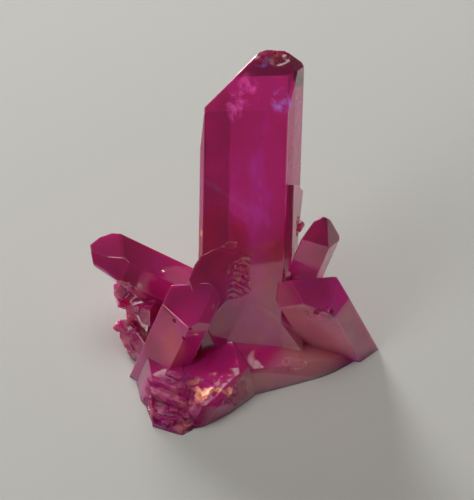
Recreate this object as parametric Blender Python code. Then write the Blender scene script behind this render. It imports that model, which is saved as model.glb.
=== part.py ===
"""Angel aura quartz: a cluster of grown-together quartz crystals on a broken piece of matrix.

Every length below is in millimetres and every angle in degrees; MM turns them into metres.
+Z is up, the front of the cluster faces -Y, and it rests on the flat break at z = 0.

A crystal is a six-sided prism under six slopes. Each of its twelve faces has its own distance
from the point `at` on the crystal's axis, because real quartz grows unevenly. Faces 0 to 5 run
round the axis 60 degrees apart, and `spin` turns face 0 from the front.
"""

import math
import random

import bmesh
import bpy
from mathutils import Matrix, Vector

MM = 0.001
SLOPE = 38.2  # angle between a slope of the point and the crystal's axis: quartz's own
RAW = 120.0  # side of the rough block that a crystal is cut from
CRYSTAL_WEAR = 0.17  # width of the narrow flat that wear leaves along a crystal's edges
BLOCK_WEAR = 0.10  # the same along the edges of the matrix
LEAST_TURN = 18.0  # edges that turn less than this show no wear

CRYSTALS = {
    # The tall crystal, which leans back a little.
    "tall": dict(
        at=(2.3, 4.9, 24.0),
        lean=19.4,
        heading=86.3,
        spin=12.2,
        sides=(5.4, 6.1, 8.2, 6.0, 5.8, 10.3),
        slopes=(14.0, 17.4, 24.0, 15.1, 14.1, 24.0),
        root=34.0,
    ),
    # A thin crystal grown along the right flank of the tall one, ending in a broken step.
    "flank": dict(
        at=(2.3, 4.9, 24.0),
        lean=19.4,
        heading=86.3,
        spin=12.2,
        sides=(4.5, 7.0, 8.5, 3.0, 2.0, 2.0),
        slopes=(30.0, 30.0, 30.0, 30.0, 30.0, 30.0),
        root=30.0,
    ),
    # The stout crystal at the right, leaning left over the base.
    "stout": dict(
        at=(14.7, -2.4, 7.3),
        lean=24.6,
        heading=-165.8,
        spin=-12.8,
        sides=(3.9, 4.1, 3.7, 5.0, 6.0, 6.3),
        slopes=(7.3, 5.1, 6.3, 5.2, 9.0, 9.6),
        root=16.0,
    ),
    # The short pointed crystal between the tall one and the stout one.
    "right": dict(
        at=(12.1, 0.5, 18.5),
        lean=16.9,
        heading=-17.2,
        spin=-4.7,
        sides=(2.8, 2.8, 2.7, 3.5, 1.2, 3.9),
        slopes=(3.9, 3.8, 4.0, 3.7, 4.2, 7.0),
        root=22.0,
    ),
    # The long crystal that lies out to the left.
    "left": dict(
        at=(-15.4, 3.9, 12.5),
        lean=55.7,
        heading=-174.9,
        spin=37.3,
        sides=(4.8, 1.6, 3.4, 3.3, 3.6, 5.9),
        slopes=(5.9, 3.9, 6.0, 6.5, 8.0, 7.1),
        root=19.0,
    ),
    # The upright crystal at the front left, with a worn, low point.
    "front": dict(
        at=(-8.7, -7.7, 11.4),
        lean=22.1,
        heading=11.4,
        spin=-43.6,
        sides=(2.8, 4.7, 4.7, 3.5, 3.5, 3.2),
        slopes=(3.0, 5.2, 7.0, 5.6, 4.1, 7.0),
        root=14.0,
    ),
    # Two short crystals at the back.
    "back_left": dict(
        at=(-1.5, 11.0, 9.0),
        lean=32.0,
        heading=112.0,
        spin=20.0,
        sides=(3.0, 2.6, 3.1, 2.8, 3.2, 2.7),
        slopes=(6.2, 5.2, 6.6, 5.4, 6.4, 5.6),
        root=14.0,
    ),
    "back_right": dict(
        at=(6.0, 10.8, 6.2),
        lean=30.0,
        heading=66.0,
        spin=-12.0,
        sides=(2.4, 2.2, 2.5, 2.1, 2.6, 2.3),
        slopes=(4.6, 4.0, 4.9, 4.3, 4.8, 4.4),
        root=12.0,
    ),
    # Small crystals of the crust under the long one.
    "crust_top": dict(
        at=(-17.6, 0.9, 8.6),
        lean=48.0,
        heading=-140.0,
        spin=14.0,
        sides=(1.1, 1.3, 1.0, 1.2, 1.1, 1.3),
        slopes=(1.7, 2.1, 1.9, 1.7, 2.0, 1.8),
        root=5.0,
    ),
    "crust_low": dict(
        at=(-17.9, -1.7, 3.9),
        lean=72.0,
        heading=-152.0,
        spin=-8.0,
        sides=(0.9, 0.8, 1.1, 0.9, 1.0, 0.8),
        slopes=(1.4, 1.7, 1.5, 1.4, 1.6, 1.5),
        root=5.0,
    ),
    "crust_front": dict(
        at=(-14.6, -2.2, 7.6),
        lean=40.0,
        heading=-118.0,
        spin=22.0,
        sides=(0.8, 0.9, 0.9, 0.7, 0.9, 0.9),
        slopes=(1.4, 1.7, 1.5, 1.6, 1.5, 1.7),
        root=5.0,
    ),
}

# Flat breaks: which crystal, a point on the break, and the way the break faces.
BREAKS = (
    ("left", (-20.0, 0.1, 15.95), (-0.47, -0.61, 0.64)),
    ("left", (-19.3, -2.1, 14.1), (-0.58, -0.60, -0.57)),
    ("left", (-22.9, 2.2, 15.7), (-0.97, -0.15, -0.15)),
    ("tall", (3.9, 13.7, 45.55), (-0.35, 0.25, 0.90)),
    ("tall", (6.9, 14.1, 45.3), (0.25, 0.05, 0.97)),
    ("tall", (8.9, 11.6, 43.3), (0.75, -0.45, 0.45)),
    ("tall", (-5.6, 2.0, 35.0), (-0.985, -0.03, 0.125)),
    ("flank", (9.0, 5.6, 26.3), (0.05, 0.60, 0.80)),
    ("flank", (10.2, 5.6, 25.6), (0.60, 0.50, 0.62)),
    ("flank", (10.4, 5.6, 26.0), (0.994, -0.068, -0.087)),
)

# The crystal between the front one and the tall one has lost its own shape: its faces, each
# as a point on it and the way it faces. Its right side is the shell-like break below.
MIDDLE = (
    ((0.2, -3.2, 20.1), (0.169, -0.820, 0.547)),
    ((0.2, -3.2, 20.1), (0.285, -0.857, 0.429)),
    ((2.6, -4.3, 14.3), (0.535, -0.838, 0.111)),
    ((0.2, -3.2, 20.1), (0.147, 0.713, 0.685)),
    ((-3.4, -3.4, 20.9), (-0.490, 0.635, 0.598)),
    ((-5.6, -4.4, 20.1), (-0.809, 0.452, 0.377)),
    ((-6.4, -5.1, 19.3), (-0.917, 0.328, 0.225)),
    ((-7.2, -6.9, 16.8), (-0.943, -0.110, -0.315)),
    ((4.0, 0.0, 10.0), (1.0, 0.0, 0.0)),
    ((0.0, 4.0, 10.0), (0.0, 1.0, 0.0)),
    ((0.0, 0.0, 1.0), (0.0, 0.0, -1.0)),
)

# Blocks of the broken matrix, as the corners of each. The first number is how many small
# chips are knocked off its edges, and the second how deep they go.
BLOCKS = {
    "right_base": (
        (4, 0.2),
        (2.0, -14.0, -1.0), (5.1, -12.4, -1.0), (9.9, -10.8, -1.0), (12.7, -9.6, -1.0),
        (15.4, -8.9, -1.0), (17.1, -6.8, -1.0), (19.9, -5.4, -1.0), (21.5, -3.2, -1.0),
        (20.5, 1.6, -1.0), (10.0, 6.0, -1.0), (0.0, 2.0, -1.0), (2.0, -13.0, 4.6),
        (5.6, -11.4, 3.7), (13.0, -8.2, 2.3), (15.4, -7.6, 1.0), (17.4, -6.0, 0.6),
        (20.8, -3.4, 0.4), (20.0, 1.2, 0.6), (5.7, -6.4, 3.5), (-0.9, -6.5, 6.2), (0.0, 1.0, 5.5),
    ),
    "front_base": (
        (6, 0.3),
        (-8.3, -21.6, -1.0), (-5.6, -20.9, -1.0), (-0.3, -16.9, -1.0), (3.0, -13.5, -1.0),
        (-13.0, -12.0, -1.0), (-5.1, -20.2, 3.6), (-2.6, -19.3, 3.2), (0.5, -15.3, 5.7),
        (2.2, -12.8, 4.8), (-0.9, -6.5, 6.2), (-5.0, -3.0, 4.0), (-9.5, -12.7, 4.5),
        (-6.8, -18.2, 4.6),
    ),
    "step_top": (
        (4, 0.25),
        (-13.9, -9.6, 4.7), (-13.0, -14.4, 4.2), (-6.9, -18.4, 4.7), (-8.6, -12.0, 5.0),
        (-9.4, -7.6, 4.2), (-16.1, -11.2, -1.0), (-15.7, -5.2, -1.0), (-7.5, -18.8, -1.0),
        (-6.0, -8.0, -1.0), (-13.6, -14.8, -1.0), (-14.4, -6.0, 3.0),
    ),
    "step_middle": (
        (5, 0.2),
        (-13.9, -13.0, 3.3), (-13.2, -16.2, 3.1), (-7.2, -19.4, 3.5), (-8.2, -15.0, 3.9),
        (-15.4, -14.5, -1.0), (-13.6, -17.2, -1.0), (-7.1, -20.2, -1.0), (-8.0, -12.0, -1.0),
        (-15.9, -11.6, -1.0),
    ),
    "step_low": (
        (5, 0.2),
        (-13.6, -16.0, 2.0), (-12.9, -19.2, 1.6), (-7.0, -20.9, 1.9), (-7.6, -17.0, 2.3),
        (-14.4, -15.6, -1.0), (-13.1, -19.8, -1.0), (-7.0, -21.5, -1.0), (-8.0, -15.0, -1.0),
    ),
    "step_foot": (
        (4, 0.15),
        (-13.3, -17.6, 0.9), (-12.8, -20.5, 0.6), (-8.4, -22.4, 0.8), (-7.0, -21.4, 1.1),
        (-8.0, -18.0, 1.3), (-13.5, -17.4, -1.0), (-12.9, -20.8, -1.0), (-8.3, -22.7, -1.0),
        (-6.4, -21.2, -1.0), (-8.0, -16.0, -1.0),
    ),
    "left_crust": (
        (7, 0.3),
        (-18.6, 3.2, 9.2), (-13.0, -0.6, 8.8), (-17.8, -0.2, 7.2), (-17.4, -1.8, 4.6),
        (-16.4, -3.0, 2.6), (-15.9, -4.0, -1.0), (-14.0, -5.4, -1.0), (-17.6, 3.0, -1.0),
        (-8.0, 6.0, -1.0), (-8.0, -2.0, -1.0), (-8.0, 4.0, 8.0), (-14.2, -3.8, 4.4),
    ),
    "crust_rim": (
        (3, 0.25),
        (-19.7, 2.0, 9.8), (-19.6, 0.6, 8.5), (-18.9, -0.8, 7.0), (-18.0, -0.8, 7.4),
        (-18.3, 2.2, 10.2), (-16.4, 3.0, 9.8), (-16.8, 0.6, 5.0), (-18.4, 1.4, 5.6),
        (-15.4, 2.4, 6.0),
    ),
    "crust_plate": (
        (4, 0.2),
        (-18.8, -2.2, 5.7), (-17.9, -2.4, 6.3), (-15.6, -4.6, 5.0), (-13.5, -7.4, 3.4),
        (-14.5, -7.6, 2.0), (-16.4, -6.0, 1.4), (-17.9, -4.5, 2.0), (-18.7, -3.5, 3.4),
        (-16.2, -5.2, -1.0), (-17.2, -3.4, -1.0), (-13.0, -6.8, -1.0), (-15.6, -1.0, -1.0),
        (-17.2, -0.6, 3.6), (-12.0, -3.0, 2.0),
    ),
    "crust_face": (
        (2, 0.12),
        (-16.2, -2.4, 8.9), (-13.6, -4.6, 9.7), (-13.6, -5.5, 7.2), (-15.1, -4.3, 6.9),
        (-16.3, -2.9, 8.0), (-12.6, -1.0, 9.0), (-15.0, 0.0, 7.0), (-12.4, -2.6, 5.6),
        (-14.4, -1.0, 5.4),
    ),
    "wedge": (
        (0, 0.0),
        (6.3, -5.2, 8.6), (8.0, -6.0, 6.3), (7.3, -7.2, 2.9), (5.8, -6.9, 2.9),
        (10.6, -7.0, 2.6), (9.4, -3.0, 8.0), (6.0, -2.0, 8.0), (6.0, -4.0, -1.0),
        (11.0, -4.0, -1.0), (7.2, -7.5, -1.0),
    ),
    "knob": (
        (3, 0.15),
        (9.6, 3.6, 20.2), (10.7, 4.4, 20.4), (10.6, 4.8, 19.0), (9.8, 3.4, 18.6),
        (8.6, 4.8, 20.6), (8.8, 5.6, 17.6), (10.5, 5.6, 18.4),
    ),
    "back_base": (
        (10, 0.7),
        (-11.0, 3.0, -1.0), (-8.6, 11.4, -1.0), (0.5, 14.0, -1.0), (10.6, 12.4, -1.0),
        (16.0, 4.6, -1.0), (10.0, -2.0, -1.0), (-8.6, 4.0, 6.0), (-6.6, 10.2, 4.2),
        (0.6, 12.6, 4.8), (8.8, 11.0, 3.9), (13.4, 4.6, 4.4), (0.0, 2.0, 7.5),
    ),
}

# What joins all of them, deep inside the matrix.
CORE = (
    (-9.0, -8.0, -1.0), (-8.0, 6.0, -1.0), (4.0, 9.0, -1.0), (13.0, 5.0, -1.0),
    (14.0, -4.0, -1.0), (3.0, -9.0, -1.0), (-7.0, -7.0, 3.2), (-6.0, 4.0, 3.6),
    (3.0, 7.0, 3.6), (10.5, 4.0, 3.6), (11.0, -3.0, 2.4), (3.0, -7.0, 3.2),
    (9.4, -3.0, 5.6), (8.4, -2.4, 7.0),
)

# Rough breaks, cut as a rippled sheet: a point, the way it faces, its width, how far it is
# dished, the height of its ripples and the distance between them.
SHELL = dict(at=(0.4, -5.0, 15.7), faces=(0.504, -0.805, 0.312), width=15.0)
SHELL_DISH = 0.2
SHELL_RIPPLE = 0.08
SHELL_PITCH = 0.85
SHELL_ROWS = 34

# Hollows etched in the faces: middle, half sizes and turn about Z.
PITS = (
    ((13.0, -6.4, 11.3), (1.3, 0.5, 0.6), 20.0),
    ((14.6, -6.3, 10.3), (0.45, 0.6, 1.1), -10.0),
    ((12.2, -6.7, 10.7), (0.8, 0.4, 0.4), 35.0),
    ((-9.5, -10.2, 12.4), (0.35, 0.5, 0.45), 25.0),
    ((-7.1, -12.0, 12.3), (0.3, 0.5, 0.3), -20.0),
    ((-8.1, -12.1, 10.6), (0.3, 0.5, 0.35), 10.0),
)

COLOUR = (0.46, 0.03, 0.16, 1.0)
ROUGHNESS = 0.08
REFRACTION = 1.54


def clear_scene():
    for item in list(bpy.data.objects):
        bpy.data.objects.remove(item)


def collection(name):
    made = bpy.data.collections.new(name)
    bpy.context.scene.collection.children.link(made)
    return made


def crystal_frame(lean, heading, spin):
    """The crystal's axis and the directions of its six sides."""
    tilt = math.radians(lean)
    way = math.radians(heading)
    axis = Vector((math.sin(tilt) * math.cos(way), math.sin(tilt) * math.sin(way), math.cos(tilt)))
    front = Vector((0.0, -1.0, 0.0))
    front = (front - front.dot(axis) * axis).normalized()
    across = axis.cross(front)
    sides = []
    for i in range(6):
        angle = math.radians(spin + 60.0 * i)
        sides.append(math.cos(angle) * front + math.sin(angle) * across)
    return axis, sides


def cut(bm, point, facing):
    """Takes away what lies beyond a plane, and closes the cut."""
    geometry = bm.verts[:] + bm.edges[:] + bm.faces[:]
    found = bmesh.ops.bisect_plane(
        bm, geom=geometry, dist=1e-7, plane_co=point, plane_no=facing, clear_outer=True
    )
    rim = [item for item in found["geom_cut"] if isinstance(item, bmesh.types.BMEdge)]
    if rim:
        bmesh.ops.contextual_create(bm, geom=rim)


def tidy(bm):
    bmesh.ops.remove_doubles(bm, verts=bm.verts, dist=0.002 * MM)
    bmesh.ops.recalc_face_normals(bm, faces=bm.faces)


def wear(bm, width, name):
    """Takes a narrow flat off each edge of a convex solid, wider on some edges than on others."""
    bmesh.ops.recalc_face_normals(bm, faces=bm.faces)
    dice = random.Random("wear of " + name)
    flats = []
    for edge in bm.edges:
        first, second = edge.link_faces
        turn = first.normal.angle(second.normal)
        if turn < math.radians(LEAST_TURN):
            continue
        facing = (first.normal + second.normal).normalized()
        depth = 0.5 * width * MM * math.tan(turn / 2.0) * dice.uniform(0.5, 1.3)
        flats.append((edge.verts[0].co - facing * depth, facing))
    for point, facing in flats:
        cut(bm, point, facing)


def to_object(bm, name, home, helper=True):
    tidy(bm)
    mesh = bpy.data.meshes.new(name)
    bm.to_mesh(mesh)
    bm.free()
    made = bpy.data.objects.new(name, mesh)
    home.objects.link(made)
    if helper:
        made.hide_render = True
        made.display_type = "WIRE"
    return made


def crystal(name, spec, home):
    axis, sides = crystal_frame(spec["lean"], spec["heading"], spec["spin"])
    at = Vector(spec["at"])
    bm = bmesh.new()
    bmesh.ops.create_cube(bm, size=RAW * MM, matrix=Matrix.Translation(at * MM))
    steep = math.radians(SLOPE)
    for side, away in zip(sides, spec["sides"]):
        cut(bm, (at + side * away) * MM, side)
    for side, away in zip(sides, spec["slopes"]):
        facing = math.cos(steep) * side + math.sin(steep) * axis
        cut(bm, (at + facing * away) * MM, facing)
    cut(bm, (at - axis * spec["root"]) * MM, -axis)
    for owner, point, facing in BREAKS:
        if owner == name:
            cut(bm, Vector(point) * MM, Vector(facing).normalized())
    tidy(bm)
    wear(bm, CRYSTAL_WEAR, name)
    return to_object(bm, "crystal_" + name, home)


def middle(home):
    bm = bmesh.new()
    at = Vector(MIDDLE[0][0])
    bmesh.ops.create_cube(bm, size=RAW * MM, matrix=Matrix.Translation(at * MM))
    for point, facing in MIDDLE:
        cut(bm, Vector(point) * MM, Vector(facing).normalized())
    tidy(bm)
    wear(bm, CRYSTAL_WEAR, "middle")
    return to_object(bm, "crystal_middle", home)


def block(name, corners, chips, depth, home):
    """The hull of its corners, with small chips knocked off at random."""
    bm = bmesh.new()
    for corner in corners:
        bm.verts.new(Vector(corner) * MM)
    bmesh.ops.convex_hull(bm, input=bm.verts)
    loose = [vert for vert in bm.verts if not vert.link_faces]
    bmesh.ops.delete(bm, geom=loose, context="VERTS")
    dice = random.Random(name)
    for _ in range(chips):
        facing = Vector((dice.uniform(-1, 1), dice.uniform(-1, 1), dice.uniform(0.1, 1.0)))
        facing.normalize()
        reach = max(vert.co.dot(facing) for vert in bm.verts)
        cut(bm, facing * (reach - depth * MM * dice.uniform(0.4, 1.6)), facing)
    tidy(bm)
    if chips:
        wear(bm, BLOCK_WEAR, name)
    return to_object(bm, "block_" + name, home)


def shell_break(home):
    """The cutter for the shell-like break: a rippled, dished sheet made thick outwards."""
    facing = Vector(SHELL["faces"]).normalized()
    turn = facing.to_track_quat("Z", "Y").to_matrix().to_4x4()
    place = Matrix.Translation(Vector(SHELL["at"]) * MM) @ turn
    half = SHELL["width"] / 2.0
    bm = bmesh.new()
    bmesh.ops.create_grid(bm, x_segments=SHELL_ROWS, y_segments=SHELL_ROWS, size=half * MM)
    for vert in bm.verts:
        x, y = vert.co.x / MM, vert.co.y / MM
        near = math.hypot(x + 3.2, y + 4.6)
        ripple = SHELL_RIPPLE * math.sin(2.0 * math.pi * near / SHELL_PITCH + 0.6 * math.sin(2.3 * x))
        dish = SHELL_DISH * ((x * x + y * y) / 12.0 - 1.0)
        vert.co.z = (ripple + dish) * MM
    out = bmesh.ops.extrude_face_region(bm, geom=bm.faces[:])
    moved = [item for item in out["geom"] if isinstance(item, bmesh.types.BMVert)]
    bmesh.ops.translate(bm, verts=moved, vec=(0.0, 0.0, 16.0 * MM))
    bmesh.ops.transform(bm, matrix=place, verts=bm.verts)
    return to_object(bm, "cutter_shell", home)


def pit(index, centre, half, turn, home):
    """A cutter for one etched hollow: a lumpy ball with flat facets."""
    dice = random.Random("pit%d" % index)
    bm = bmesh.new()
    bmesh.ops.create_icosphere(bm, subdivisions=2, radius=1.0)
    for vert in bm.verts:
        vert.co *= dice.uniform(0.82, 1.12)
    size = Matrix.Diagonal((half[0], half[1], half[2], 1.0))
    place = Matrix.Translation(Vector(centre)) @ Matrix.Rotation(math.radians(turn), 4, "Z")
    bmesh.ops.transform(bm, matrix=Matrix.Scale(MM, 4) @ place @ size, verts=bm.verts)
    return to_object(bm, "cutter_pit_%d" % index, home)


def ground(home):
    """The cutter that makes the flat break the cluster rests on."""
    bm = bmesh.new()
    low = Matrix.Translation((0.0, 0.0, -RAW * MM / 2.0))
    bmesh.ops.create_cube(bm, size=RAW * MM, matrix=low)
    return to_object(bm, "cutter_ground", home)


def boolean(target, other, operation):
    step = target.modifiers.new(operation.lower() + "_" + other.name, "BOOLEAN")
    step.operation = operation
    step.solver = "EXACT"
    step.object = other


def applied(target, name, home):
    """A plain mesh of the finished shape, standing with the middle of its box over the origin."""
    graph = bpy.context.evaluated_depsgraph_get()
    mesh = bpy.data.meshes.new_from_object(target.evaluated_get(graph))
    bm = bmesh.new()
    bm.from_mesh(mesh)
    tidy(bm)
    xs = [vert.co.x for vert in bm.verts]
    ys = [vert.co.y for vert in bm.verts]
    zs = [vert.co.z for vert in bm.verts]
    back = Vector(((min(xs) + max(xs)) / 2.0, (min(ys) + max(ys)) / 2.0, min(zs)))
    bmesh.ops.translate(bm, verts=bm.verts, vec=-back)
    bpy.data.meshes.remove(mesh)
    print("moved by", [round(v / MM, 3) for v in back], "mm; faces", len(bm.faces))
    return to_object(bm, name, home, helper=False)


def aura_material():
    made = bpy.data.materials.new("aura_quartz")
    made.use_nodes = True
    shader = made.node_tree.nodes["Principled BSDF"]
    shader.inputs["Base Color"].default_value = COLOUR
    shader.inputs["Roughness"].default_value = ROUGHNESS
    shader.inputs["IOR"].default_value = REFRACTION
    shader.inputs["Coat Weight"].default_value = 1.0
    return made


def build():
    clear_scene()
    home = collection("aura_quartz_cluster")
    helpers = collection("helpers")
    helpers.hide_render = True

    crystals = {}
    for name, spec in CRYSTALS.items():
        crystals[name] = crystal(name, spec, helpers)
    crystals["middle"] = middle(helpers)
    blocks = []
    for name, (wear, *corners) in BLOCKS.items():
        blocks.append(block(name, corners, wear[0], wear[1], helpers))

    boolean(crystals["middle"], shell_break(helpers), "DIFFERENCE")

    core = block("core", CORE, 0, 0.0, helpers)
    for piece in blocks + list(crystals.values()):
        boolean(core, piece, "UNION")
    for index, (centre, half, turn) in enumerate(PITS):
        boolean(core, pit(index, centre, half, turn, helpers), "DIFFERENCE")
    boolean(core, ground(helpers), "DIFFERENCE")

    whole = applied(core, "quartz_cluster", home)
    whole.data.materials.clear()
    whole.data.materials.append(aura_material())


build()
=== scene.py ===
"""Dresses the aura quartz cluster: its worn and broken surface, its coating, and a plain stage.

Lengths in the tables below are in millimetres in the cluster's own frame: +Z up, front to -Y,
the middle of its box over the origin. MM turns them into metres.
"""

import math

import bmesh
import bpy
from mathutils import Matrix, Vector, geometry, noise


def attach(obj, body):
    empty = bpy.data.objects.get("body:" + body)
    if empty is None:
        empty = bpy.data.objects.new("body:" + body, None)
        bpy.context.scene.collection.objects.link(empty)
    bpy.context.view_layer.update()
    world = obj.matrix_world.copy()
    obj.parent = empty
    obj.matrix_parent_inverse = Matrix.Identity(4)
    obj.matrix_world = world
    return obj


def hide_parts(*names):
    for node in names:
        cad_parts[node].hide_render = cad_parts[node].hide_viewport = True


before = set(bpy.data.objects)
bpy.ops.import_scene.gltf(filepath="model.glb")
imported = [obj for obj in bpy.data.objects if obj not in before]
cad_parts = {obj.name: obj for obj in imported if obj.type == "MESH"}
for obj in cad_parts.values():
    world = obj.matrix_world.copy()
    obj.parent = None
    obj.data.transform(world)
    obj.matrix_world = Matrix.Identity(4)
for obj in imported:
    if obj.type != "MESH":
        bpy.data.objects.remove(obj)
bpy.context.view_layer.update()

bl_info = {
    "name": "Aura Quartz Cluster",
    "version": (1, 0, 0),
    "blender": (4, 5, 0),
    "location": "View3D > Sidebar > Quartz",
    "description": "Builds the surface, the coating and the stage of an aura quartz cluster",
    "category": "Object",
}

MM = 0.001
NODE = "quartz_cluster"
BODY = "root"

# Camera: where it looks, from which way, how far off, and its focal length on that sensor.
LOOK_AT = (0.29, 2.67, 18.0)
AZIMUTH = 0.0
ELEVATION = 38.0
DISTANCE = 270.0
FOCAL = 125.4
SENSOR = 36.0
NEAREST = 10.0  # nothing closer to the camera than this is seen

# The room's light: how dim it is, then each soft window's azimuth, elevation, half width in
# degrees and brightness, its colour, and how bright the camera sees it where the floor ends.
DIM = 0.05
WINDOWS = (
    (-22.0, 19.0, 11.0, 30.0),
    (-128.0, 30.0, 18.0, 3.2),
    (-20.0, 80.0, 26.0, 2.35),
)
DAYLIGHT = (1.0, 0.985, 0.955)
BACKDROP = 0.5

# The round floor: it ends nearer behind the cluster than in front of it.
FLOOR_RADIUS = 380.0
FLOOR_MIDDLE = -120.0
FLOOR_SIDES = 96
# Painted light: it gets lighter along the slope, towards the main window at the back left. Its colour
# goes from the first tone to the second while the slope times the place in metres goes from minus the
# span to the span. That change is shown by its own share, and a faint speckle is added: lumps per metre,
# and detail.
FLOOR_LIGHT_SLOPE = (-1.3, 1.4, 0.0)
FLOOR_SPAN = 0.3
FLOOR_TONES = (0.74, 1.2)
FLOOR_EVEN = 0.9
FLOOR_SPECKLE = 0.04
FLOOR_GRAIN = (900.0, 5.0)
FLOOR_ROUGHNESS = 0.9

# Broken and worn places. Each is an ellipsoid: its centre, its half sizes, the longest edge of the
# mesh in it, the kind of break, the most that the surface is set in, and the size of one flake or
# layer. Where two overlap, both set the surface in.
ROUGH = {
    "crust": dict(
        at=(-16.6, -0.4, 6.4), half=(4.6, 5.0, 7.2), grain=0.24, kind="flakes", depth=0.75, size=2.3
    ),
    "crust_grit": dict(
        at=(-17.4, -0.6, 4.6), half=(3.4, 4.2, 5.6), grain=0.24, kind="flakes", depth=0.22, size=0.7
    ),
    "lump": dict(
        at=(-9.6, -15.6, 2.6), half=(5.4, 6.6, 4.2), grain=0.22, kind="layers", depth=0.6, size=0.5
    ),
    "lump_grit": dict(
        at=(-8.2, -15.6, 2.6), half=(4.8, 6.6, 4.0), grain=0.22, kind="flakes", depth=0.16, size=0.8
    ),
    "ledge": dict(
        at=(-2.6, -14.2, 4.2), half=(4.6, 3.2, 2.4), grain=0.22, kind="flakes", depth=0.45, size=1.2
    ),
    "ledge_ribs": dict(
        at=(0.4, -13.4, 2.6), half=(2.6, 2.4, 2.2), grain=0.22, kind="ribs", depth=0.25, size=0.8
    ),
    "sparkle": dict(
        at=(9.4, -7.1, 3.1), half=(3.4, 1.3, 1.1), grain=0.2, kind="flakes", depth=0.25, size=0.45
    ),
    "shell": dict(
        at=(0.6, -1.9, 16.4), half=(2.3, 1.8, 2.9), grain=0.2, kind="flakes", depth=0.2, size=0.6
    ),
    "chips": dict(
        at=(-0.8, -0.1, 21.0), half=(1.5, 0.7, 0.6), grain=0.2, kind="flakes", depth=0.1, size=0.5
    ),
    "pits": dict(
        at=(13.0, -4.0, 10.4), half=(2.7, 1.3, 1.5), grain=0.2, kind="flakes", depth=0.25, size=0.6
    ),
    "tip": dict(
        at=(6.0, 15.6, 45.2), half=(3.2, 2.6, 1.2), grain=0.2, kind="flakes", depth=0.18, size=0.9
    ),
    "knob": dict(
        at=(9.9, 6.2, 19.9), half=(1.6, 1.6, 2.0), grain=0.2, kind="flakes", depth=0.3, size=0.8
    ),
    "back": dict(
        at=(0.0, 13.5, 2.6), half=(15.0, 8.0, 4.2), grain=0.7, kind="flakes", depth=0.6, size=2.6
    ),
}
SPLITS = 12  # times that the mesh of a rough spot is halved
RIM = 0.25  # how much of a rough spot, from its edge inwards, is only partly set in
FLAT_BASE = 0.15  # nothing is set in below this height, so that the cluster still stands flat
WELD = 0.001  # corners closer than this become one

# Flakes, in shares of their spot's depth: how much deeper the deepest lies than the others, how
# steeply they tilt, and the least depth; then two factors that set the draws for depth and tilt
# apart.
FLAKE_STEP = 0.6
FLAKE_TILT = 1.1
FLAKE_LEAST = 0.1
DEPTH_DRAW = 5.3
TILT_DRAW = 9.7
# Layers: how much they sink to the right, how much of each is its steep edge, and the waves in
# them, each with its lumps per millimetre and its height.
LAYER_DIP = 0.12
LAYER_EDGE = 0.25
LAYER_WAVES = ((0.35, 0.9), (1.3, 0.25))
# Ribs: how much they slant from front to back, and the wave in them.
RIB_SLANT = 0.6
RIB_WAVE = (0.8, 0.5)

# Worn edges are the faces narrower than the width and longer than the length, except those in
# line, to within the angle in degrees, with a face that isn't both.
WORN_WIDTH = 0.2
WORN_LENGTH = 1.0
WORN_ANGLE = 5.0

# The quartz and its film: how they bend light, how rough the film is, how much of it there is at
# most, how much the bare quartz shines, and how much light goes through it where it is clear and
# where it is milky. It is clear from one height up and milky from the other down.
QUARTZ_IOR = 1.54
FILM_IOR = 2.1
FILM_ROUGHNESS = 0.02
FILM_WEIGHT = 0.95
BARE_SHINE = 0.25
CLEAR = 0.75
MILKY = 0.3
CLEAR_ABOVE = 20.0
MILKY_BELOW = 12.0
SCATTER_REACH = 5.0  # how far light scatters inside, times the share for red, green and blue
SCATTER_SHARES = (0.6, 0.4, 0.4)
GLINT_LIGHT = 0.3  # strength of the faint light that the glints give off

# Patterns of noise: lumps per metre, detail, roughness, and the values that become 0 and 1.
PATTERNS = {
    "veils": (210.0, 5.0, 0.6, 0.46, 0.66),
    "clouds": (95.0, 3.0, 0.5, 0.35, 0.7),
    "specks": (1150.0, 2.0, 0.5, 0.7, 0.75),
    "sheen_mottle": (700.0, 4.0, 0.5, -0.4, 0.6),
    "patches": (420.0, 3.0, 0.5, 0.5, 0.62),
    "streaks": (330.0, 4.0, 0.6, 0.5, 0.62),
    "sparks": (700.0, 5.0, 0.65, 0.4, 0.72),
}
# Plain noise: lumps per metre, and detail.
GRAIN = (1500.0, 4.0)
WARM = (800.0, 2.0)
WAVE = (170.0, 3.0)
LINES = (240.0, 2.0)
FLUTES = (300.0, 1.0)
# How noise is turned, in radians, and then squeezed: below 1 draws it out that way.
ALONG = ((0.35, 0.0, 0.3), (1.0, 1.0, 0.3))
SLANTING = ((0.3, 0.7, 0.2), (1.0, 1.0, 0.2))
ACROSS = ((0.3, 0.0, 0.0), (1.0, 1.0, 14.0))
FLUTED = ((0.3, 0.0, 0.0), (0.2, 0.2, 6.0))

# How much of each colour shows where it shows most, the painted shade, reflections and glints among them.
# Away from the tall crystal's heart there are fewer veils and more of the deep colour, and away from the
# ledge fewer painted gold glints.
DEEP_SHARE = 0.7
DEEP_LESS_IN_HEART = 0.4
TOP_SHADE_SHARE = 0.55
VEILS_AWAY = 0.15
FRONT_SHARE = 0.8
PAINTED_SHEEN_SHARE = 0.6
GOLD_GLINTS_AWAY = 0.15
GOLD_GLINT_SHARE = 0.6
GOLD_GLINT_GLOW = 0.7
COLOURED_GLINT_SHARE = 0.9
SHEET_SHARE = 0.25
STREAK_SHARE = 0.45
WORN_EDGE_HIGHLIGHT = 0.15
SPECK_SHARE = 0.8
# What each thing adds to the film, to the roughness, to the metallic look and to the bumps.
FILM_CHANGES = {"strip": -0.8, "painted_sheen": -0.2, "rough": -0.5, "shaded_top": -0.6, "lump": -0.55}
ROUGHNESS = 0.05
ROUGHER = {"rough": 0.12, "painted_sheen": 0.15, "grain": 0.05}
METALLIC = {"gold_glints": 0.4, "worn": 0.15}
BUMPS = {"wave": 0.5, "lines": 0.05, "flutes": 0.8, "grain": 0.02}
BUMP_STRENGTH = 0.12
BUMP_HEIGHT = 0.4

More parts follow.
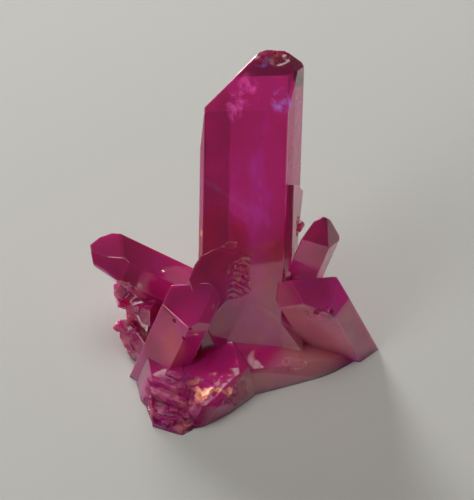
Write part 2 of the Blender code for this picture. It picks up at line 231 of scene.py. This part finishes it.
# Spots and flat places fade towards their rim: how much of each, from its middle, is full.
SPOT_CORE = 0.6
SLAB_CORE = 0.7
FACE_SKIN = 0.25  # how far off its plane a point still counts as on a face
UP = (0.0, 0.0, 1.0)
BLACK = (0.0, 0.0, 0.0)
SPECK = (0.16, 0.004, 0.03)

# Faces with a look of their own: the way each faces, a point on it and how far it reaches.
# The long crystal's top, which gets painted shade and less film.
LONG_TOP = ((0.55, 0.13, 0.82), (-14.0, 4.0, 14.1), 16.0)
# The stout crystal's front, which gets a painted reflection of the pale floor.
STOUT_FRONT = ((-0.16, -0.97, -0.18), (11.9, -3.7, 9.6), 9.0)
TALL_SIDE = ((0.95, -0.29, 0.08), (8.45, 8.3, 32.9), 16.0)
# The fluted strip down the tall crystal's side, by its front edge: the way the front faces, a
# point on the edge, and how far the strip reaches from it.
TALL_FRONT = (0.22, -0.92, 0.32)
TALL_EDGE = (1.1, 1.9, 19.0)
EDGE_STRIP = 1.6
# Spots with a look of their own: the middle and the half sizes of each.
HEART = ((3.6, 4.5, 29.0), (5.0, 7.0, 13.0))
LUMP = ((-9.6, -15.6, 2.6), (8.0, 8.0, 7.0))
LEDGE = ((-2.0, -14.2, 4.2), (6.0, 5.0, 3.5))
FOOT = ((7.0, -9.0, 1.5), (13.0, 8.0, 6.0))
# The painted reflection of the pale floor, a dull lilac sheen, lies on the foot around this height, and
# this far up and down.
FOOT_HEIGHT = 1.4
FOOT_BAND = 3.0
# Faces that took little of the film: the way each faces, a point on it, how far it reaches, and
# how much it lacks.
THIN_FILM = (
    (*TALL_SIDE, 0.6),
    ((-0.62, -0.72, 0.31), (-10.0, -8.0, 10.4), 9.0, 0.5),
)
# Painted shade, darkening parts of the cluster towards the dark colour: the middle and the half sizes of
# each, and how much darker it is.
PAINTED_SHADE_SPOTS = (
    ((-17.5, 0.0, 14.0), (14.0, 12.0, 8.0), 0.5),
    ((-5.0, -6.0, 13.0), (9.0, 7.0, 9.0), 0.15),
    ((-14.0, -4.0, 4.0), (8.0, 8.0, 7.0), 0.5),
    ((-9.6, -16.0, 2.0), (8.0, 8.0, 7.0), 0.6),
    ((0.0, -9.5, 5.5), (8.0, 3.5, 3.5), 0.3),
    ((9.5, -1.5, 12.5), (7.0, 4.5, 3.5), 0.3),
)
# Flat places with a painted gold glint: the middle and the half sizes of each.
GOLD_GLINT_SPOTS = (
    ((-4.0, -6.8, 14.9), (1.0, 1.0, 2.2)),
    ((-4.7, -0.2, 23.5), (0.9, 0.8, 1.1)),
    ((-1.2, -14.4, 4.3), (4.5, 3.0, 1.8)),
)
# Painted glints of other colours near the tall crystal's point, which also glow faintly: the middle, the
# half sizes and the colour.
COLOURED_GLINTS = (
    ((2.0, 10.4, 42.0), (2.0, 3.0, 4.5), (1.0, 0.13, 0.6)),
    ((7.0, 9.6, 41.0), (2.0, 2.4, 2.4), (0.4, 0.26, 1.0)),
    ((4.0, 14.6, 44.9), (1.6, 1.6, 1.0), (0.45, 0.25, 0.95)),
    ((6.6, 15.0, 44.6), (1.3, 1.6, 1.6), (1.0, 0.35, 0.2)),
    ((0.0, 7.7, 41.5), (1.6, 2.6, 3.2), (1.0, 0.16, 0.65)),
)
# Painted reflections of the pale floor, soft pinkish and orange tinges on the faces that mirror it: the
# middle and the half sizes of each, its colour, and how much of it shows.
FLOOR_REFLECTIONS = (
    ((4.6, 0.4, 18.4), (5.2, 4.0, 3.2), (1.0, 0.22, 0.14), 0.55),
    ((-10.3, -8.6, 8.6), (3.4, 4.0, 5.5), (0.95, 0.2, 0.12), 0.6),
    ((17.9, -1.4, 11.3), (4.0, 4.0, 5.0), (0.95, 0.2, 0.2), 0.5),
    ((14.0, -5.0, 7.0), (9.0, 4.5, 7.0), (0.95, 0.36, 0.36), 0.5),
    ((3.0, -3.5, 11.5), (8.0, 6.0, 8.0), (0.95, 0.36, 0.36), 0.45),
    ((2.0, -14.0, 2.5), (12.0, 6.0, 4.0), (0.95, 0.36, 0.4), 0.6),
    ((14.0, -6.5, 2.0), (8.0, 5.0, 3.5), (0.95, 0.36, 0.36), 0.5),
)
# Healed cracks that show as lighter sheets: the way each one faces, a point on it, half its
# thickness, how far it reaches and its colour.
SHEETS = (
    ((-0.59, -0.39, -0.71), (-1.0, 2.4, 28.5), 0.45, 5.4, (1.0, 0.2, 0.75)),
    ((-0.59, -0.39, -0.71), (0.6, 2.6, 26.6), 1.8, 4.2, (0.95, 0.07, 0.6)),
    ((-0.97, -0.24, -0.03), (3.6, 3.3, 28.0), 1.6, 7.0, (0.95, 0.09, 0.8)),
)


class QuartzSettings(bpy.types.PropertyGroup):
    film: bpy.props.FloatVectorProperty(
        name="Film colour",
        description="Colour that light takes on as it goes through the metallic film",
        subtype="COLOR",
        default=(0.88, 0.028, 0.35),
        min=0.0,
        max=1.0,
    )
    deep: bpy.props.FloatVectorProperty(
        name="Deep colour",
        description="Colour of the thicker, darker quartz",
        subtype="COLOR",
        default=(0.7, 0.012, 0.18),
        min=0.0,
        max=1.0,
    )
    # The colour of the painted shade on the darker spots and on the long crystal's top.
    painted_shade: bpy.props.FloatVectorProperty(
        name="Dark colour",
        description="Colour of the darkest crystals, wine red",
        subtype="COLOR",
        default=(0.3, 0.005, 0.07),
        min=0.0,
        max=1.0,
    )
    veil: bpy.props.FloatVectorProperty(
        name="Veil colour",
        description="Colour of the violet veils inside the crystals",
        subtype="COLOR",
        default=(0.9, 0.05, 0.8),
        min=0.0,
        max=1.0,
    )
    # The colour of the painted reflection of the pale floor on the foot, and of the painted highlight on
    # worn edges.
    painted_sheen: bpy.props.FloatVectorProperty(
        name="Bloom colour",
        description="Colour of the dull lilac bloom on the broken base",
        subtype="COLOR",
        default=(0.9, 0.38, 0.45),
        min=0.0,
        max=1.0,
    )
    # This colour and the next are the colours of the painted gold and orange glints.
    gold: bpy.props.FloatVectorProperty(
        name="Gold colour",
        description="Colour of the film's gold patches",
        subtype="COLOR",
        default=(1.0, 0.62, 0.3),
        min=0.0,
        max=1.0,
    )
    copper: bpy.props.FloatVectorProperty(
        name="Copper colour",
        description="Colour of the film's orange patches",
        subtype="COLOR",
        default=(0.95, 0.3, 0.18),
        min=0.0,
        max=1.0,
    )
    floor: bpy.props.FloatVectorProperty(
        name="Floor colour",
        description="Colour of the pale floor",
        subtype="COLOR",
        default=(0.6, 0.6, 0.575),
        min=0.0,
        max=1.0,
    )


class Wire:
    """A shader socket that takes part in sums with numbers and with other sockets."""

    def __init__(self, maker, socket):
        self.maker = maker
        self.socket = socket

    def _with(self, operation, other, reflected=False):
        pair = (other, self) if reflected else (self, other)
        if self.socket.type in ("VECTOR", "RGBA"):
            return self.maker.node("ShaderNodeVectorMath", {"operation": operation}, pair)
        return self.maker.node("ShaderNodeMath", {"operation": operation}, pair)

    def __add__(self, other):
        return self._with("ADD", other)

    def __radd__(self, other):
        return self._with("ADD", other, True)

    def __sub__(self, other):
        return self._with("SUBTRACT", other)

    def __rsub__(self, other):
        return self._with("SUBTRACT", other, True)

    def __mul__(self, other):
        return self._with("MULTIPLY", other)

    def __rmul__(self, other):
        return self._with("MULTIPLY", other, True)

    def __truediv__(self, other):
        return self._with("DIVIDE", other)


class Maker:
    """Makes the nodes of one material or world."""

    def __init__(self, owner):
        owner.use_nodes = True
        self.tree = owner.node_tree

    def node(self, kind, settings, values, out=None):
        """A node of that type, set as settings says, with values by socket name or in order."""
        made = self.tree.nodes.new(kind)
        for key, value in settings.items():
            setattr(made, key, value)
        named = values.items() if isinstance(values, dict) else enumerate(values)
        for key, value in named:
            self.feed(made.inputs[key], value)
        shown = [socket for socket in made.outputs if socket.enabled]
        return Wire(self, made.outputs[out] if out else shown[0])

    def feed(self, socket, value):
        """Gives a socket its value or its link."""
        if isinstance(value, Wire):
            self.tree.links.new(value.socket, socket)
        elif socket.type == "RGBA" and len(value) == 3:
            socket.default_value = (*value, 1.0)
        else:
            socket.default_value = value

    def between(self, value, low, high):
        """value, stretched so that low gives 0 and high gives 1, and held there."""
        return self.node(
            "ShaderNodeMapRange",
            {"interpolation_type": "SMOOTHSTEP"},
            {"Value": value, "From Min": low, "From Max": high},
            out="Result",
        )

    def dot(self, first, second):
        """How far one vector reaches along another."""
        return self.node(
            "ShaderNodeVectorMath", {"operation": "DOT_PRODUCT"}, (first, second), out="Value"
        )


class Finish(Maker):
    """Makes the nodes of one material, most of them on Object coordinates."""

    def __init__(self, name):
        self.material = bpy.data.materials.new(name)
        super().__init__(self.material)
        self.surface = self.tree.nodes["Principled BSDF"]
        self.place = self.node("ShaderNodeTexCoord", {}, (), out="Object")

    def give(self, **values):
        """Gives the surface's sockets their values or links."""
        for key, value in values.items():
            self.feed(self.surface.inputs[key.replace("_", " ")], value)

    def mix_in(self, part, **values):
        """Mixes in a second surface, like the first but for the values given."""
        same = {
            key: Wire(self, socket.links[0].from_socket) if socket.is_linked else socket.default_value
            for key, socket in enumerate(self.surface.inputs)
        }
        changed = {key.replace("_", " "): value for key, value in values.items()}
        other = self.node("ShaderNodeBsdfPrincipled", {}, {**same, **changed}, out="BSDF")
        first = Wire(self, self.surface.outputs["BSDF"])
        both = self.node("ShaderNodeMixShader", {}, (part, first, other))
        self.feed(self.tree.nodes["Material Output"].inputs["Surface"], both)

    def noise(self, scale, detail=3.0, rough=0.5, at=None):
        """Noise from 0 to 1; scale is in lumps per metre."""
        return self.node(
            "ShaderNodeTexNoise",
            {},
            {"Vector": at or self.place, "Scale": scale, "Detail": detail, "Roughness": rough},
            out="Fac",
        )

    def pattern(self, name, at=None):
        """One of the patterns of noise, from 0 to 1."""
        scale, detail, rough, low, high = PATTERNS[name]
        return self.between(self.noise(scale, detail, rough, at), low, high)

    def mix(self, part, first, second):
        """Colour first where part is 0, and second where it is 1."""
        # The node's sockets for colours share their names with others, so they go by number.
        values = {0: part, 6: first, 7: second}
        return self.node("ShaderNodeMix", {"data_type": "RGBA"}, values, out=2)

    def layered(self, colour, layers):
        """The colour under some layers, each with where it shows and its own colour."""
        for part, tint in layers:
            colour = self.mix(part, colour, tint)
        return colour

    def turned(self, turn, size):
        """Object coordinates, turned and squeezed."""
        return self.node("ShaderNodeMapping", {}, {"Vector": self.place, "Rotation": turn, "Scale": size})

    def marked(self, name):
        """What the mesh says under that name, from 0 to 1."""
        return self.node("ShaderNodeAttribute", {"attribute_name": name}, (), out="Fac")

    def ball(self, at, half):
        """1 inside an ellipsoid, fading to 0 at its rim; sizes are in millimetres."""
        away = (self.place - tuple(c * MM for c in at)) / tuple(h * MM for h in half)
        far = self.node("ShaderNodeVectorMath", {"operation": "LENGTH"}, (away,), out="Value")
        return self.between(far, 1.0, SPOT_CORE)

    def slab(self, way, at, half):
        """1 in a flat slab that faces a way, fading to 0 at half its thickness from its middle."""
        off = self.dot(self.place - tuple(c * MM for c in at), way)
        size = self.node("ShaderNodeMath", {"operation": "ABSOLUTE"}, (off,))
        return self.between(size, half * MM, SLAB_CORE * half * MM)

    def facet(self, way, at, wide, half=FACE_SKIN):
        """1 on a flat face or in a thin sheet, out to wide millimetres from a point on it."""
        return self.slab(way, at, half) * self.ball(at, (wide, wide, wide))


def total(mask, shares, start=None):
    """The masks that shares names, each times its share, added to start if there is one."""
    parts = [mask[name] * share for name, share in shares.items()]
    result = parts.pop(0) if start is None else start
    for part in parts:
        result = result + part
    return result


def quartz_masks(made):
    """Where each look of the quartz shows, from 0 to 1, by its name."""
    along = made.turned(*ALONG)
    mask = {
        "rough": made.marked("rough"),
        "worn": made.marked("worn"),
        "clouds": made.pattern("clouds"),
        "veils": made.pattern("veils", at=along),
        "streaks": made.pattern("streaks", at=along),
        "sparks": made.pattern("sparks", at=made.turned(*SLANTING)),
        "heart": made.ball(*HEART),
        "lump": made.ball(*LUMP),
        # Painted shade on the long crystal's top.
        "shaded_top": made.facet(*LONG_TOP),
        "grain": made.noise(*GRAIN),
        "wave": made.noise(*WAVE),
        "lines": made.noise(*LINES, at=made.turned(*ACROSS)),
    }
    mask["specks"] = made.pattern("specks") * mask["clouds"]

    # The fluted strip down the tall crystal's right edge.
    mask["strip"] = made.facet(*TALL_SIDE) * made.slab(TALL_FRONT, TALL_EDGE, EDGE_STRIP)
    mask["flutes"] = made.noise(*FLUTES, at=made.turned(*FLUTED)) * mask["strip"]

    # Painted reflection of the pale floor, a dull lilac sheen in mottled patches, on the broken base and
    # on the stout crystal's front.
    base = made.slab(UP, (0.0, 0.0, FOOT_HEIGHT), FOOT_BAND) * made.ball(*FOOT)
    mask["painted_sheen"] = (base + made.facet(*STOUT_FRONT) * FRONT_SHARE) * made.pattern("sheen_mottle")

    # Painted gold and orange glints, in patches where the surface is broken, most of them around the
    # ledge, and on a few flat places.
    patches = made.pattern("patches")
    gold_glints = mask["rough"] * patches * (GOLD_GLINTS_AWAY + (1.0 - GOLD_GLINTS_AWAY) * made.ball(*LEDGE))
    for at, half in GOLD_GLINT_SPOTS:
        gold_glints = gold_glints + made.ball(at, half) * patches
    mask["gold_glints"] = gold_glints
    return mask


def quartz_colours(made, mask, settings):
    """The colour of the quartz under its film, with painted shade, painted reflections of the pale floor
    and painted glints in it, and the faint painted glow of the glints.
    """
    heart, clouds, gold_glints = mask["heart"], mask["clouds"], mask["gold_glints"]
    warm = made.mix(made.noise(*WARM), settings.gold, settings.copper)
    # Painted glints of other colours near the tall crystal's point.
    coloured_glints = [(made.ball(at, half) * mask["sparks"] * COLOURED_GLINT_SHARE, tint) for at, half, tint in COLOURED_GLINTS]
    shine = SHEET_SHARE + STREAK_SHARE * mask["streaks"]
    layers = [
        # Painted shade: the darker spots and the long crystal's top.
        *((made.ball(at, half) * share, settings.painted_shade) for at, half, share in PAINTED_SHADE_SPOTS),
        (mask["shaded_top"] * TOP_SHADE_SHARE, settings.painted_shade),
        (mask["veils"] * (VEILS_AWAY + heart * (1.0 - VEILS_AWAY)), settings.veil),
        # Painted reflection of the pale floor.
        (mask["painted_sheen"] * PAINTED_SHEEN_SHARE, settings.painted_sheen),
        # Painted gold glints.
        (gold_glints * GOLD_GLINT_SHARE, warm),
        # Painted reflections of the pale floor.
        *((made.ball(at, half) * clouds * share, tint) for at, half, tint, share in FLOOR_REFLECTIONS),
        # Painted coloured glints.
        *coloured_glints,
        *((made.facet(way, at, wide, half) * shine, tint) for way, at, half, wide, tint in SHEETS),
        # Painted highlight along the worn edges, in the sheen colour.
        (mask["worn"] * WORN_EDGE_HIGHLIGHT, settings.painted_sheen),
        (mask["specks"] * SPECK_SHARE, SPECK),
    ]
    clear = made.mix(clouds * (DEEP_SHARE - heart * DEEP_LESS_IN_HEART), settings.film, settings.deep)
    # The painted glow of the glints: they give off a faint light though they are no lamp.
    glow = made.layered(made.mix(gold_glints * GOLD_GLINT_GLOW, BLACK, warm), coloured_glints)
    return made.layered(clear, layers), glow


def aura_quartz(settings):
    """Quartz under a thin metallic film, clear at the points and milky at the foot."""
    made = Finish("aura_quartz")
    mask = quartz_masks(made)
    colour, glow = quartz_colours(made, mask, settings)
    coat = total(mask, FILM_CHANGES, FILM_WEIGHT)
    for way, at, wide, loss in THIN_FILM:
        coat = coat - loss * made.facet(way, at, wide)
    bumps = {"Strength": BUMP_STRENGTH, "Distance": BUMP_HEIGHT * MM, "Height": total(mask, BUMPS)}
    made.give(IOR=QUARTZ_IOR, Specular_IOR_Level=BARE_SHINE, Transmission_Weight=CLEAR)
    made.give(Subsurface_Weight=1.0, Subsurface_Radius=SCATTER_SHARES)
    made.give(Subsurface_Scale=SCATTER_REACH * MM)
    made.give(Coat_Roughness=FILM_ROUGHNESS, Coat_IOR=FILM_IOR, Emission_Strength=GLINT_LIGHT)
    # The emission is the painted glow of the glints.
    made.give(Base_Color=colour, Emission_Color=glow, Coat_Weight=coat)
    made.give(Metallic=total(mask, METALLIC), Roughness=total(mask, ROUGHER, ROUGHNESS))
    made.give(Normal=made.node("ShaderNodeBump", {}, bumps, out="Normal"))

    up = made.node("ShaderNodeSeparateXYZ", {}, (made.place,), out="Z")
    made.mix_in(made.between(up, CLEAR_ABOVE * MM, MILKY_BELOW * MM), Transmission_Weight=MILKY)
    return made.material


def pale_floor(settings):
    """The floor's colour, with painted light: a little lighter towards the back left, where the main
    window is.
    """
    made = Finish("pale_floor")
    # Painted light: the floor lightens towards the main window.
    slope = made.between(made.dot(made.place, FLOOR_LIGHT_SLOPE), -FLOOR_SPAN, FLOOR_SPAN)
    tone = slope * FLOOR_EVEN + made.noise(*FLOOR_GRAIN) * FLOOR_SPECKLE
    darker, lighter = (tuple(share * c for c in settings.floor) for share in FLOOR_TONES)
    made.give(Base_Color=made.mix(tone, darker, lighter), Roughness=FLOOR_ROUGHNESS)
    return made.material


def studio():
    """A dim room with soft windows, seen by the quartz; the camera itself sees pale grey."""
    world = bpy.data.worlds.new("studio")
    made = Maker(world)
    way = made.node("ShaderNodeTexCoord", {}, (), out="Generated")
    glow = DIM
    for azimuth, elevation, wide, bright in WINDOWS:
        a, e = math.radians(azimuth), math.radians(elevation)
        centre = (math.sin(a) * math.cos(e), math.cos(a) * math.cos(e), math.sin(e))
        edge = math.cos(math.radians(wide))
        glow = glow + made.between(made.dot(way, centre), edge, 0.5 * (1.0 + edge)) * bright
    seen = made.node("ShaderNodeLightPath", {}, (), out="Is Camera Ray")
    light = world.node_tree.nodes["Background"]
    made.feed(light.inputs["Color"], DAYLIGHT)
    made.feed(light.inputs["Strength"], glow + seen * (BACKDROP - glow))
    return world


def view_matrix():
    """Where the camera stands and how it is turned."""
    azimuth = math.radians(AZIMUTH)
    elevation = math.radians(ELEVATION)
    back = Vector(
        (
            math.sin(azimuth) * math.cos(elevation),
            -math.cos(azimuth) * math.cos(elevation),
            math.sin(elevation),
        )
    )
    place = (Vector(LOOK_AT) + back * DISTANCE) * MM
    return Matrix.Translation(place) @ (-back).to_track_quat("-Z", "Y").to_matrix().to_4x4()


def flakes(place, size):
    """How far in, from 0 to 1, the surface lies at a place: flat flakes, each with its own tilt."""
    spot = place / size
    middle = noise.voronoi(spot)[1][0]
    tilt = noise.cell_vector(middle * TILT_DRAW) - Vector((0.5, 0.5, 0.5))
    back = FLAKE_STEP * noise.cell(middle * DEPTH_DRAW)
    return back + FLAKE_TILT * tilt.dot(spot - middle) + FLAKE_LEAST


def layers(place, size):
    """Thin layers lying nearly flat, each set back by its own amount, with a steep edge between."""
    wave = sum(noise.noise(place * lumps) * height for lumps, height in LAYER_WAVES)
    level = (place.z + LAYER_DIP * place.x + wave) / size
    step = math.floor(level)
    part = min(1.0, max(0.0, (level - step - (1.0 - LAYER_EDGE)) / LAYER_EDGE))
    here, above = (noise.cell(Vector((0.5, 0.5, step + k + 0.5))) for k in (0, 1))
    return here + (above - here) * part


def ribs(place, size):
    """Upright ribs side by side."""
    lumps, height = RIB_WAVE
    across = (place.x + place.y * RIB_SLANT + height * noise.noise(place * lumps)) / size
    return 0.5 + 0.5 * math.cos(2.0 * math.pi * across)


KINDS = {"flakes": flakes, "layers": layers, "ribs": ribs}


def reach(place, spot):
    """0 at the middle of a rough spot, 1 at its rim, more outside; place is in millimetres."""
    (x, y, z), (a, b, c) = spot["at"], spot["half"]
    return math.hypot((place.x - x) / a, (place.y - y) / b, (place.z - z) / c)


def touches(corners, longest, spot):
    """Whether a triangle reaches into a rough spot."""
    middle, half = Vector(spot["at"]), spot["half"]
    away = corners[0] - middle
    if any(abs(a) > h + longest for a, h in zip(away, half)):
        return False
    spread = [Vector(a / h for a, h in zip(corner - middle, half)) for corner in corners]
    return geometry.closest_point_on_tri(Vector(), *spread).length < 1.0


def refine(bm):
    """Splits the faces of the rough spots until few have an edge longer than their spot's grain."""
    fresh = list(bm.faces)
    for _ in range(SPLITS):
        long = {}
        for face in fresh:
            corners = [vert.co / MM for vert in face.verts]
            longest = max(edge.calc_length() for edge in face.edges) / MM
            grains = [
                spot["grain"]
                for spot in ROUGH.values()
                if longest > spot["grain"] and touches(corners, longest, spot)
            ]
            if grains:
                least = min(grains) * MM
                long.update((edge, 1) for edge in face.edges if edge.calc_length() > least)
        made = bmesh.ops.subdivide_edges(bm, edges=list(long), cuts=1)["geom_split"]
        points = [item for item in made if isinstance(item, bmesh.types.BMVert)]
        bmesh.ops.triangulate(
            bm, faces=[face for face in bm.faces if len(face.verts) > 3], quad_method="SHORT_EDGE"
        )
        fresh = dict.fromkeys(face for point in points for face in point.link_faces)


def mark_worn(bm):
    """Marks the narrow faces that wear has left along the edges."""
    mark = bm.faces.layers.float.new("worn")
    narrow = set()
    for face in bm.faces:
        longest = max(edge.calc_length() for edge in face.edges)
        if 2.0 * face.calc_area() / longest < WORN_WIDTH * MM and longest > WORN_LENGTH * MM:
            narrow.add(face.index)
    for face in bm.faces:
        level = [
            other.index
            for edge in face.edges
            for other in edge.link_faces
            if other is not face
            and edge.calc_length() > WORN_WIDTH * MM
            and other.normal.angle(face.normal, math.pi) < math.radians(WORN_ANGLE)
        ]
        face[mark] = float(face.index in narrow and narrow.issuperset(level))


def set_in(bm):
    """Sets the surface of every rough spot in, and marks how rough each vertex is."""
    mark = bm.verts.layers.float.new("rough")
    bm.normal_update()
    moves = []
    for vert in bm.verts:
        place = vert.co / MM
        depth = 0.0
        for spot in ROUGH.values():
            off = reach(place, spot)
            if off < 1.0:
                share = min(1.0, (1.0 - off) / RIM)
                inward = max(0.0, min(1.0, KINDS[spot["kind"]](place, spot["size"])))
                depth += share * spot["depth"] * inward
                vert[mark] = max(vert[mark], share)
        if depth > 0.0 and place.z > FLAT_BASE:
            moves.append((vert, vert.co - vert.normal * depth * MM))
    for vert, place in moves:
        vert.co = place


class QUARTZ_OT_cluster(bpy.types.Operator):
    """Gives the quartz cluster its worn surface and its coating"""

    bl_idname = "quartz.cluster"
    bl_label = "Quartz Cluster"

    def execute(self, context):
        bm = bmesh.new()
        bm.from_mesh(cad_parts[NODE].data)
        bmesh.ops.remove_doubles(bm, verts=bm.verts, dist=WELD * MM)
        bm.normal_update()
        bm.faces.index_update()
        mark_worn(bm)
        refine(bm)
        set_in(bm)
        mesh = bpy.data.meshes.new("quartz_surface")
        bm.to_mesh(mesh)
        bm.free()
        piece = bpy.data.objects.new("quartz_surface", mesh)
        context.scene.collection.objects.link(piece)
        mesh.materials.append(aura_quartz(context.scene.quartz))
        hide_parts(NODE)
        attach(piece, BODY)
        return {"FINISHED"}


class QUARTZ_OT_stage(bpy.types.Operator):
    """Makes the floor, the lights and the camera"""

    bl_idname = "quartz.stage"
    bl_label = "Stage"

    def execute(self, context):
        scene = context.scene
        bm = bmesh.new()
        bmesh.ops.create_circle(bm, cap_ends=True, segments=FLOOR_SIDES, radius=FLOOR_RADIUS * MM)
        bmesh.ops.translate(bm, verts=bm.verts, vec=(0.0, FLOOR_MIDDLE * MM, 0.0))
        mesh = bpy.data.meshes.new("floor")
        bm.to_mesh(mesh)
        bm.free()
        floor = bpy.data.objects.new("floor", mesh)
        scene.collection.objects.link(floor)
        mesh.materials.append(pale_floor(scene.quartz))

        scene.world = studio()

        lens = bpy.data.cameras.new("camera")
        lens.lens = FOCAL
        lens.sensor_width = SENSOR
        lens.clip_start = NEAREST * MM
        camera = bpy.data.objects.new("camera", lens)
        camera.matrix_world = view_matrix()
        scene.collection.objects.link(camera)
        scene.camera = camera
        scene.view_settings.view_transform = "Standard"
        return {"FINISHED"}


class QUARTZ_PT_panel(bpy.types.Panel):
    """Lists the cluster's operators and its settings"""

    bl_label = "Aura Quartz"
    bl_idname = "QUARTZ_PT_panel"
    bl_space_type = "VIEW_3D"
    bl_region_type = "UI"
    bl_category = "Quartz"

    def draw(self, context):
        for name in QuartzSettings.__annotations__:
            self.layout.prop(context.scene.quartz, name)
        for operator in OPERATORS:
            self.layout.operator(operator.bl_idname)


OPERATORS = (QUARTZ_OT_cluster, QUARTZ_OT_stage)
CLASSES = (QuartzSettings, *OPERATORS, QUARTZ_PT_panel)


def register():
    for item in CLASSES:
        bpy.utils.register_class(item)
    bpy.types.Scene.quartz = bpy.props.PointerProperty(type=QuartzSettings)


def unregister():
    del bpy.types.Scene.quartz
    for item in reversed(CLASSES):
        bpy.utils.unregister_class(item)


def main():
    register()
    bpy.ops.quartz.cluster()
    bpy.ops.quartz.stage()


if __name__ == "__main__":
    main()
